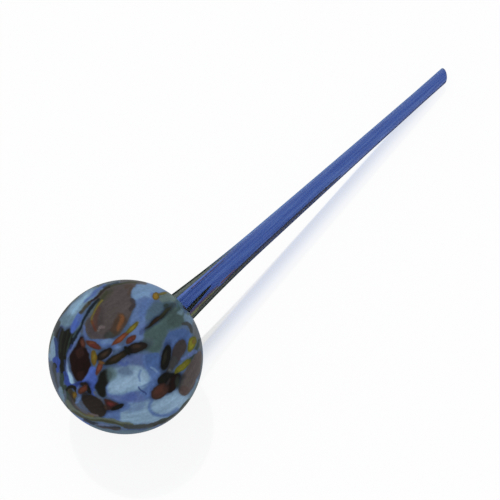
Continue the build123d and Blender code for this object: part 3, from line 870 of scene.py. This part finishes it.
casing = {
    "tint": "#dfe6ee",
    "sheen": "#5a6068",
    "roughness": 0.02,
    "letsThrough": "#f4f6f8",
    "swell": 9,  # mm from one swell of the skin to the next
    "swellHeight": 0.2,  # mm
    "swellShare": 0.06,
    # painted shade and a painted blue fringe, given as the colour of the outline's gloss: at the neck, on the thread's
    # side and on the other side
    "edgeNeck": "#1e2a24",
    "edgeThread": "#24345c",
    "edgeClear": "#5878ac",
    "edge": (0.46, 0.72),  # how much the skin has to turn away
    "edgeRoughness": 0.15,
    "neckFade": (26, 54),  # mm past the ball
    "sideFade": 1.5,  # mm to either side of the middle
}
core = {
    "colour": "#4b66ae",
    "light": "#5f7abc",
    "dark": "#425aa4",
    "steps": (0.3, 0.5, 0.72),  # of the noise, for dark, colour and light
    "roughness": 0.3,
    "streakWidth": 0.9,  # mm
    "stretch": 34,  # how many times longer than wide
}


def letLightIn(tree, seen, passed):
    # shadow and diffuse rays pass straight through, so that light reaches what lies inside
    through = addNode(tree, "BsdfTransparent", {"Color": fromHex(passed)})
    rays = addNode(tree, "LightPath")
    either = addNode(tree, "Math", {"operation": "MAXIMUM"},
                     {0: rays.outputs["Is Shadow Ray"], 1: rays.outputs["Is Diffuse Ray"]})
    mixed = addNode(tree, "MixShader", {}, {0: either, 1: seen, 2: through})
    addNode(tree, "OutputMaterial", {}, {"Surface": mixed})


def casingGlass():
    # Clear soda-lime glass, drawn hot: a fire-polished lens over the cobalt core
    material, tree = newMaterial("drawn_glass_clear")
    place = addNode(tree, "TexCoord").outputs["Object"]
    bump = swellingSkin(tree, place, casing)
    surface = addNode(tree, "BsdfPrincipled",
                      {"Base Color": fromHex(casing["tint"]), "Roughness": casing["roughness"], "IOR": refraction,
                       "Transmission Weight": 1, "Specular Tint": fromHex(casing["sheen"])},
                      {"Normal": bump})
    # gloss along the outline, its colour set by place: painted shade at the neck and on the thread's side, a painted
    # blue fringe on the other side
    facing = addNode(tree, "LayerWeight", {"Blend": 0.5})
    side = addNode(tree, "NewGeometry")
    front = addNode(tree, "MapRange", {"To Min": 1, "To Max": 0}, {"Value": side.outputs["Backfacing"]})
    edge = addNode(tree, "MapRange", {"interpolation_type": "SMOOTHSTEP", "From Min": casing["edge"][0],
                                      "From Max": casing["edge"][1]}, {"Value": facing.outputs["Facing"]})
    share = addNode(tree, "Math", {"operation": "MULTIPLY"}, {0: edge, 1: front})
    spot = addNode(tree, "SeparateXYZ", {}, {"Vector": place})
    fadeFrom, fadeTo = (ballMiddle.x + (neckStart + past) * mm for past in casing["neckFade"])
    upStem = addNode(tree, "MapRange", {"From Min": fadeFrom, "From Max": fadeTo}, {"Value": spot.outputs["X"]})
    halfFade = casing["sideFade"] * mm
    clearSide = addNode(tree, "MapRange", {"From Min": -halfFade, "From Max": halfFade}, {"Value": spot.outputs["Y"]})
    sides = addNode(tree, "Mix", {"data_type": "RGBA", "A": fromHex(casing["edgeThread"]),
                                  "B": fromHex(casing["edgeClear"])}, {"Factor": clearSide})
    tint = addNode(tree, "Mix", {"data_type": "RGBA", "A": fromHex(casing["edgeNeck"])},
                   {"Factor": upStem, "B": sides.outputs["Result"]})
    gloss = addNode(tree, "BsdfGlossy", {"Roughness": casing["edgeRoughness"]}, {"Color": tint.outputs["Result"]})
    edged = addNode(tree, "MixShader", {}, {0: share, 1: surface, 2: gloss})
    letLightIn(tree, edged, casing["letsThrough"])
    return material


def coreGlass():
    # Cobalt glass, so deep that it looks solid; drawing has pulled its colour into long lines
    material, tree = newMaterial("drawn_glass_cobalt")
    place = addNode(tree, "TexCoord").outputs["Object"]
    turned = addNode(tree, "Mapping",
                     {"vector_type": "TEXTURE", "Rotation": (0, math.asin(-stemAlong.z), 0),
                      "Scale": (core["stretch"], 1, 1)}, {"Vector": place})
    lines = addNode(tree, "TexNoise", {"Scale": 1 / (core["streakWidth"] * mm), "Detail": 2}, {"Vector": turned})
    blend = addNode(tree, "ValToRGB", {}, {"Fac": lines})
    ramp = blend.color_ramp
    ramp.elements.new(core["steps"][1])
    for element, step, name in zip(ramp.elements, core["steps"], ("dark", "colour", "light")):
        element.position = step
        element.color = fromHex(core[name])
    surface = addNode(tree, "BsdfPrincipled",
                      {"Roughness": core["roughness"], "IOR": refraction, "Specular IOR Level": 0.1},
                      {"Base Color": blend})
    addNode(tree, "OutputMaterial", {}, {"Surface": surface})
    return material


finishPiece(makeCasing(), casingGlass(), ["glass_body"])
finishPiece(makeCore(), coreGlass(), ["stem_core"])
print("stem made")


# Streaks drawn out in the clear glass of the neck: slot, colour and rows.
# A row: start and end as shares of the neck's length, turn at both ends, width in mm at both ends.
streaks = {
    "black": ("frit_dark", "#10150f", [
        (0, 0.95, -53, -60, 5, 1.6), (0, 0.34, 50, 38, 2.6, 1.2), (0.12, 0.92, 88, 84, 4.4, 2.4),
        (0.02, 0.6, -170, -164, 2.4, 1.2), (0, 0.5, 136, 140, 3, 1.4)]),
    "greyOlive": ("frit_olive", "#4c544c", [
        (0, 0.85, -25, -44, 3.6, 1.6), (0, 0.7, -92, -84, 6.5, 2.6), (0, 0.6, -146, -138, 5, 2),
        (0, 0.6, 172, 166, 4, 1.6)]),
    "olive": ("frit_olive", "#5c6034", [(0, 0.4, 76, 70, 1.9, 0.9), (0.02, 0.5, 154, 152, 2.4, 1.2)]),
    "amber": ("frit_amber", "#5e3820", [(0.42, 0.63, 64, 62, 0.7, 0.45), (0.02, 0.4, -112, -106, 1.6, 1)]),
    "plum": ("frit_brown", "#463650", [
        (0.18, 0.62, -5, -14, 0.45, 0.4), (0, 0.4, 66, 62, 1.8, 1), (0, 0.5, -122, -118, 3, 1.4)]),
    "navy": ("stem_core", "#141c3c", [(0.5, 2, 82, 79, 3, 2)]),
    "periwinkle": ("stem_core", "#566cac", [(0, 0.62, -9, -26, 2, 0.8), (0, 0.5, 118, 114, 1.8, 1)]),
}
thread = {
    "start": 0.3,  # mm past the ball
    "cover": 0.2,  # mm of clear glass over the first colour
    "coverStep": 0.06,  # and more over each next one, so that no two coincide
    "depth": 0.4,  # mm
    "sides": 10,
    "stepsPerNeck": 40,
    "leastSteps": 14,
    "roughness": 0.2,
    "grain": 2,  # mm
    "lighter": 1.8,  # times, at the most
    "letsThrough": "#e8ecf2",
}


def drawStreaks(name, rows, cover):
    points = []
    faces = []
    sides = thread["sides"]
    for start, end, firstTurn, lastTurn, firstWidth, lastWidth in rows:
        count = max(int((end - start) * thread["stepsPerNeck"]), thread["leastSteps"])
        base = len(points)
        for i in range(count + 1):
            share = i / count
            x = neckStart + thread["start"] + stem["neck"] * (start + (end - start) * share)
            turn = firstTurn + (lastTurn - firstTurn) * share
            size = max(1 - share**5, 0) ** 0.5  # blunt, then pointed at the very end
            width = firstWidth + (lastWidth - firstWidth) * share
            middle = outsideRadius(x) - cover - thread["depth"] / 2
            for k in range(sides):
                angle = 2 * math.pi * k / sides
                radius = middle + thread["depth"] / 2 * size * math.cos(angle)
                sideways = math.degrees(width / 2 * size * math.sin(angle) / middle)
                points.append(stemPoint(x, radius, turn + sideways, 0))
        for low in range(base, base + count * sides, sides):
            for k in range(sides):
                j = (k + 1) % sides
                faces.append((low + k, low + j, low + sides + j, low + sides + k))
        faces.append(tuple(base + k for k in range(sides)))
        faces.append(tuple(base + count * sides + k for k in reversed(range(sides))))
    return newPiece(name, points, faces)


def streakGlass(name, colour):
    # Coloured rod glass, drawn into threads: thin dark lines, a little lighter here and there
    material, tree = newMaterial("rod_glass_" + name)
    place = addNode(tree, "TexCoord").outputs["Object"]
    lines = addNode(tree, "TexNoise", {"Scale": 1 / (thread["grain"] * mm), "Detail": 2}, {"Vector": place})
    dark = fromHex(colour)
    light = (*[part * thread["lighter"] for part in dark[:3]], 1)
    tint = addNode(tree, "Mix", {"data_type": "RGBA", "A": dark, "B": light}, {"Factor": lines})
    surface = addNode(tree, "BsdfPrincipled",
                      {"Roughness": thread["roughness"], "IOR": refraction, "Specular IOR Level": 0.1},
                      {"Base Color": tint.outputs["Result"]})
    letLightIn(tree, surface, thread["letsThrough"])
    return material


for number, (name, (slotName, colour, rows)) in enumerate(streaks.items()):
    piece = drawStreaks("neck_streaks_" + name, rows, thread["cover"] + thread["coverStep"] * number)
    finishPiece(piece, streakGlass(name, colour), [])
print("streaks drawn")


tableTop = {
    "colour": "#f8f8fa",
    "halfSide": 6,  # metres
    "shadow": 0.06,  # how much of its look is lit paint, which takes the shadow
    "mirror": 0.23,  # and how much is reflection, along the stem
    "mirrorAtBall": 0.04,
    "roughness": 0.06,
    "cast": "#edf2fc",  # painted blue-tinted shade beside the stem, standing for the light that comes off the blue stem
    # where the reflection and the painted blue shade are nothing and where they are full, in mm
    "alongFrom": (18, 34),  # past the ball's middle
    "alongTo": (268, 232),
    "across": (-2.5, 6),  # from its edge on the side towards the camera
    "castNear": (-6, 5),
    "castFar": (6.6, 5.4),
    "edgeSlope": -0.0588,  # how that edge runs along the stem
    "edgeShift": -1.7,  # mm
}
light = {
    "sky": 0.86,
    "strip": (0.26, 0.1),  # softbox above the camera's left shoulder, metres
    "energy": 0.4,
    "away": 1.5,
    "glint": (-0.31, 0.376),  # where it glints on the ball, in ball radii of the picture
}


def seenStraight(tree):
    # 1 for a ray from the camera, or one that glass or gloss sends on
    rays = addNode(tree, "LightPath")
    seen = rays.outputs["Is Camera Ray"]
    for kind in ("Is Transmission Ray", "Is Glossy Ray"):
        seen = addNode(tree, "Math", {"operation": "MAXIMUM"}, {0: seen, 1: rays.outputs[kind]}).outputs[0]
    return seen


def fadeOver(tree, place, ways):
    # a share that grows from nothing to full in each of these ways across the table
    share = None
    for (direction, origin), name in ways:
        start, end = (origin + limit * mm for limit in tableTop[name])
        way = addNode(tree, "VectorMath", {"operation": "DOT_PRODUCT", 1: direction}, {0: place})
        part = addNode(tree, "MapRange", {"interpolation_type": "SMOOTHSTEP", "From Min": start, "From Max": end},
                       {"Value": way.outputs["Value"]})
        share = addNode(tree, "Math", {"operation": "MULTIPLY"}, {0: share, 1: part}) if share else part
    return share


def makeTable():
    size = tableTop["halfSide"]
    table = newPiece("table", [(-size, -size, 0), (size, -size, 0), (size, size, 0), (-size, size, 0)], [(0, 1, 2, 3)])
    # Cast acrylic sheet, polished: an even white, with a soft reflection just under what stands on it and a painted
    # blue-tinted shade beside the stem
    material, tree = newMaterial("white_acrylic")
    lit = addNode(tree, "BsdfDiffuse", {"Color": fromHex(tableTop["colour"])})
    mirror = addNode(tree, "BsdfGlossy", {"Color": (1, 1, 1, 1), "Roughness": tableTop["roughness"]})
    place = addNode(tree, "TexCoord").outputs["Object"]
    alongX = ((1, 0, 0), ballMiddle.x)
    acrossStem = ((tableTop["edgeSlope"], 1, 0), tableTop["edgeSlope"] * bodyHigh.x + tableTop["edgeShift"] * mm)
    along = [(alongX, "alongFrom"), (alongX, "alongTo")]
    # painted blue-tinted shade of the stem, mixed into the table's glow
    cast = addNode(tree, "Mix", {"data_type": "RGBA", "A": (1, 1, 1, 1), "B": fromHex(tableTop["cast"])},
                   {"Factor": fadeOver(tree, place, along + [(acrossStem, "castNear"), (acrossStem, "castFar")])})
    white = addNode(tree, "Emission", {"Strength": 1}, {"Color": cast.outputs["Result"]})
    share = addNode(tree, "MapRange", {"To Min": tableTop["mirrorAtBall"], "To Max": tableTop["mirror"]},
                    {"Value": fadeOver(tree, place, along + [(acrossStem, "across")])})
    glow = addNode(tree, "MixShader", {}, {0: share, 1: white, 2: mirror})
    shaded = addNode(tree, "MixShader", {0: tableTop["shadow"]}, {1: glow, 2: lit})
    mixed = addNode(tree, "MixShader", {}, {0: seenStraight(tree), 1: lit, 2: shaded})
    addNode(tree, "OutputMaterial", {}, {"Surface": mixed})
    table.data.materials.append(material)


def makeLight():
    world = bpy.data.worlds.new("studio")
    bpy.context.scene.world = world
    world.use_nodes = True
    tree = world.node_tree
    tree.nodes.clear()
    strength = addNode(tree, "MapRange", {"To Min": light["sky"], "To Max": 1},
                       {"Value": seenStraight(tree)})
    sky = addNode(tree, "Background", {"Color": (1, 1, 1, 1)}, {"Strength": strength})
    addNode(tree, "OutputWorld", {}, {"Surface": sky})
    data = bpy.data.lights.new("strip_softbox", "AREA")
    data.shape = "RECTANGLE"
    data.size, data.size_y = light["strip"]
    data.energy = light["energy"]
    lamp = bpy.data.objects.new("strip_softbox", data)
    # placed so that the ball mirrors it to the camera at the glint
    x, y = light["glint"]
    z = math.sqrt(1 - x * x - y * y)
    bounced = pictureRight * (2 * z * x) + pictureUp * (2 * z * y) - looking * (2 * z * z - 1)
    lamp.location = ballMiddle + bounced * light["away"]
    lamp.rotation_euler = (-bounced).to_track_quat("-Z", "Y").to_euler()
    bpy.context.scene.collection.objects.link(lamp)


makeTable()
makeLight()
bpy.context.scene.view_settings.view_transform = "Standard"
print("table and light set")
